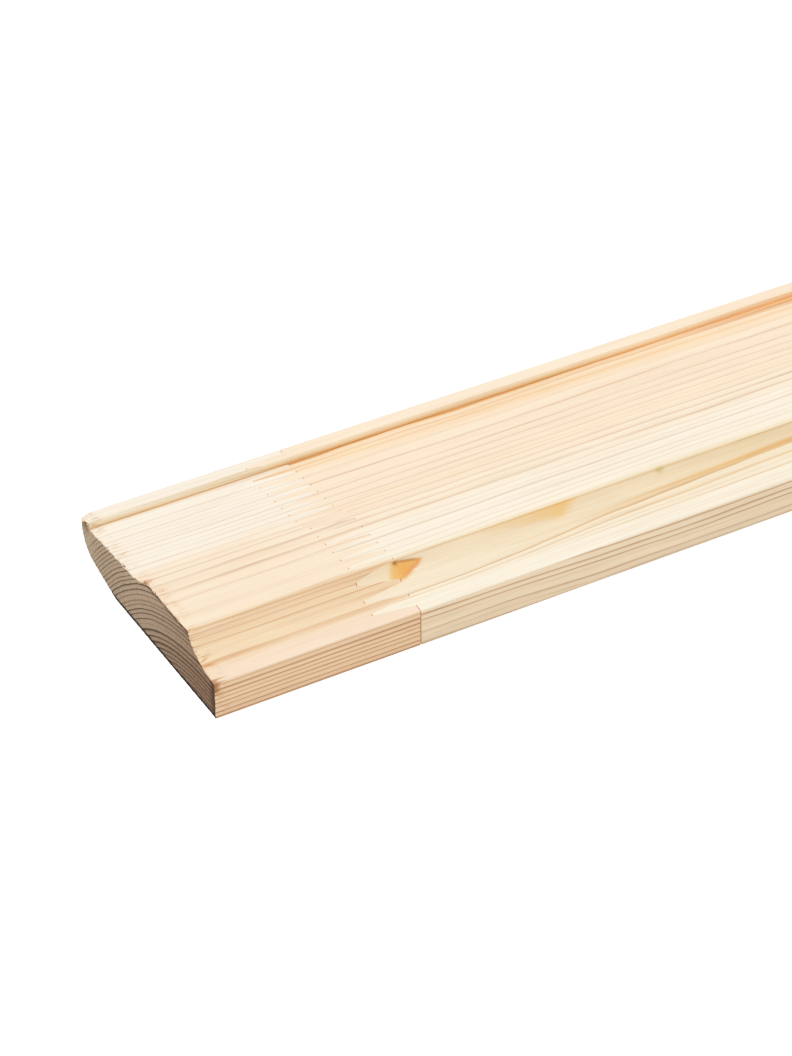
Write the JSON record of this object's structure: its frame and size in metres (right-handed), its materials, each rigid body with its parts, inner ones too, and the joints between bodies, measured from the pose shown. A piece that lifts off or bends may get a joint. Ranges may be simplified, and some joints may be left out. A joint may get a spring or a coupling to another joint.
{
  "type": "skirting board length",
  "caption": "Length of finger-jointed softwood skirting board with a flat toe band, cove, raised flat, sunk field and lip, lying on its flat back.",
  "frame": {"origin": "under the middle of the board, in the plane of the flat back that it lies on", "axes": "+X along the length, +Y across the width from the toe edge to the thin lip edge, +Z out of the moulded face"},
  "size_m": [2.4, 0.07, 0.017],
  "materials": {
    "stave_1_wood": "planed, unfinished",
    "stave_2_wood": "planed, unfinished",
    "stave_3_wood": "planed, unfinished",
    "stave_4_wood": "planed, unfinished",
    "stave_5_wood": "planed, unfinished",
    "stave_6_wood": "planed, unfinished"
  },
  "bodies": {
    "root": {"stave_1": "stave_1_wood", "stave_2": "stave_2_wood", "stave_3": "stave_3_wood", "stave_4": "stave_4_wood", "stave_5": "stave_5_wood", "stave_6": "stave_6_wood"}
  },
  "joints": []
}
